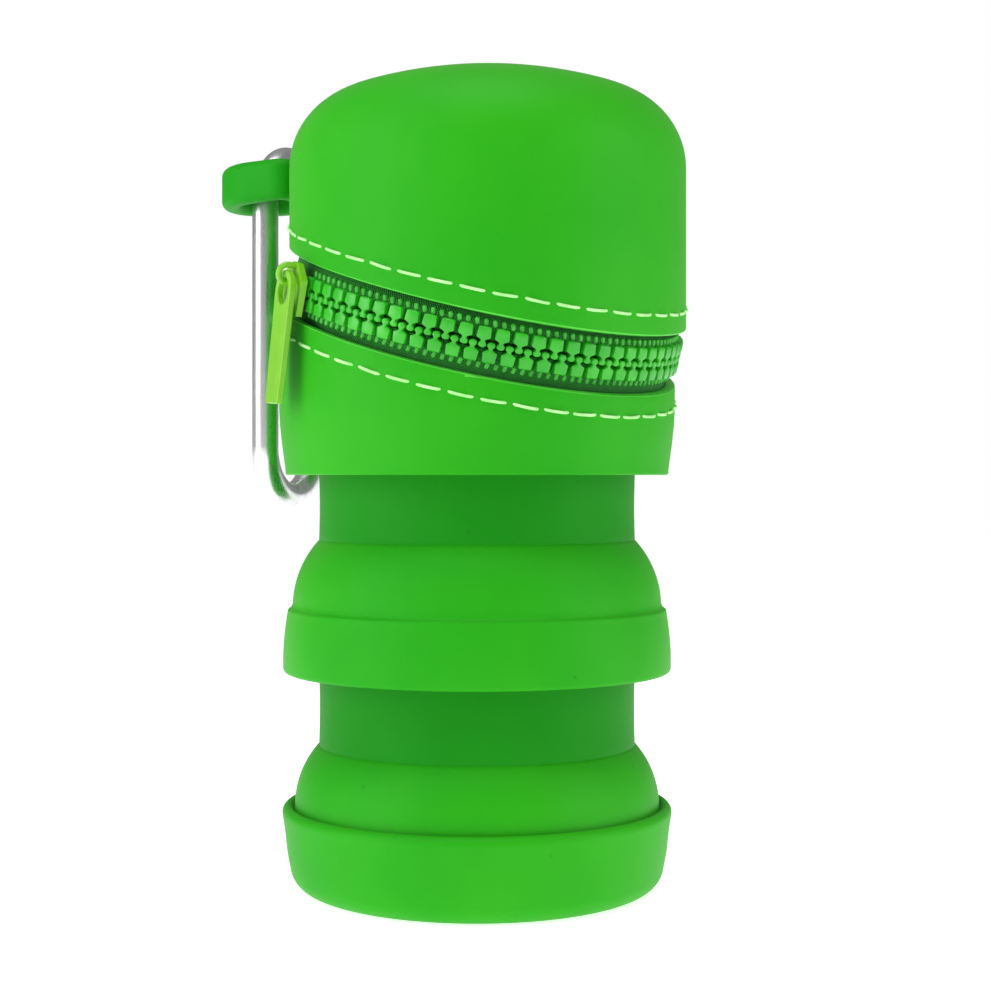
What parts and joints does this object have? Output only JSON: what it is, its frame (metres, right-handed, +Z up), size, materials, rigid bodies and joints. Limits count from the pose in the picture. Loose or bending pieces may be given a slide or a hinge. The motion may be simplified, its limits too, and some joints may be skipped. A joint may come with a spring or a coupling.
{
  "type": "collapsible water bottle",
  "caption": "Collapsible silicone drinking bottle with folding rings, a zip-open dome cap over a screw lid, a side loop and a hanging carabiner.",
  "frame": {"origin": "centre of the base's underside, where the bottle stands", "axes": "+Z up along the bottle's axis, -Y is the front with the zip in view, +X to the right seen from the front"},
  "size_m": [0.0976, 0.0824, 0.166],
  "materials": {
    "silicone": "matte moulded silicone",
    "loop_silicone": "matte moulded silicone",
    "seal": "soft food-grade silicone",
    "mouth_plastic": "satin polypropylene",
    "lid_plastic": "satin polypropylene",
    "thread": "polyester sewing thread",
    "tape": "woven polyester zip tape",
    "teeth": "glossy moulded acetal",
    "slider_paint": "painted zinc casting",
    "aluminium": "polished aluminium",
    "steel": "plain steel"
  },
  "bodies": {
    "base": {"base_cup": "silicone", "lower_fold_wall": "silicone"},
    "middle": {"middle_ring": "silicone", "upper_fold_wall": "silicone"},
    "upper": {"body_shell": "silicone", "shell_stitching": "thread", "mouth_ring": "mouth_plastic", "lower_tape": "tape", "hinge_strap": "silicone", "lower_teeth": "teeth", "zip_end_stops": "teeth"},
    "slider": {"slider_body": "slider_paint"},
    "pull": {"pull_tab": "slider_paint"},
    "cap": {"dome_cap": "silicone", "dome_stitching": "thread", "upper_tape": "tape", "upper_teeth": "teeth"},
    "loop": {"hang_loop": "loop_silicone"},
    "carabiner": {"carabiner_hook": "aluminium", "gate_rivet": "steel"},
    "gate": {"carabiner_gate": "aluminium"},
    "seal": {"lid_gasket": "seal"},
    "lid": {"screw_lid": "lid_plastic", "flip_pin": "steel"},
    "flip": {"flip_cap": "lid_plastic", "spout_plug": "seal"}
  },
  "joints": [
    {"name": "lower_fold", "type": "slide", "parent": "base", "child": "middle", "axis": [0, 0, -1], "range_m": [0, 0.026], "deforming": ["lower_fold_wall"]},
    {"name": "upper_fold", "type": "slide", "parent": "middle", "child": "upper", "axis": [0, 0, -1], "range_m": [0, 0.026], "deforming": ["upper_fold_wall"]},
    {"name": "zip_run", "type": "hinge", "parent": "upper", "child": "slider", "pos_m": [0.00154, -0.00072, 0.11667], "axis": [0.1956, -0.2173, 0.9563], "range_deg": [0, 268], "deforming": ["upper_teeth", "lower_teeth"]},
    {"name": "pull_lift", "type": "hinge", "parent": "slider", "child": "pull", "pos_m": [-0.03678, -0.02143, 0.12284], "axis": [-0.4206, 0.8623, 0.282], "range_deg": [0, 48.5]},
    {"name": "cap_open", "type": "hinge", "parent": "upper", "child": "cap", "pos_m": [-0.03362, 0.01568, 0.128], "axis": [-0.4226, -0.9063, 0], "range_deg": [0, 100], "deforming": ["hinge_strap", "upper_teeth"]},
    {"name": "loop_flex", "type": "hinge", "parent": "cap", "child": "loop", "pos_m": [-0.04423, 0.02062, 0.14575], "axis": [-0.4226, -0.9063, 0], "range_deg": [-100, 0], "deforming": ["hang_loop"]},
    {"name": "carabiner_swing", "type": "hinge", "parent": "loop", "child": "carabiner", "pos_m": [-0.04117, 0.02717, 0.1478], "axis": [-0.9063, 0.4226, 0], "range_deg": [-30, 14]},
    {"name": "gate_open", "type": "hinge", "parent": "carabiner", "child": "gate", "pos_m": [-0.03686, 0.03642, 0.0957], "axis": [0.9063, -0.4226, 0], "range_deg": [0, 22], "stiffness_Nm_per_rad": 0.05, "springref_deg": -8.59},
    {"name": "lid_lift", "type": "slide", "parent": "upper", "child": "seal", "axis": [0, 0, 1], "range_m": [0, 0.0061]},
    {"name": "lid_turn", "type": "hinge", "parent": "seal", "child": "lid", "pos_m": [0, 0, 0.11], "axis": [0, 0, 1], "range_deg": [0, 540]},
    {"name": "flip_open", "type": "hinge", "parent": "lid", "child": "flip", "pos_m": [0, 0.015, 0.1239], "axis": [-1, 0, 0], "range_deg": [0, 130]}
  ],
  "couplings": [
    {"joint": "pull_lift", "follows": "zip_run", "ratio": 0.18},
    {"joint": "loop_flex", "follows": "cap_open", "ratio": -1},
    {"joint": "lid_lift", "follows": "lid_turn", "m_per_rad": 0.00063662}
  ]
}
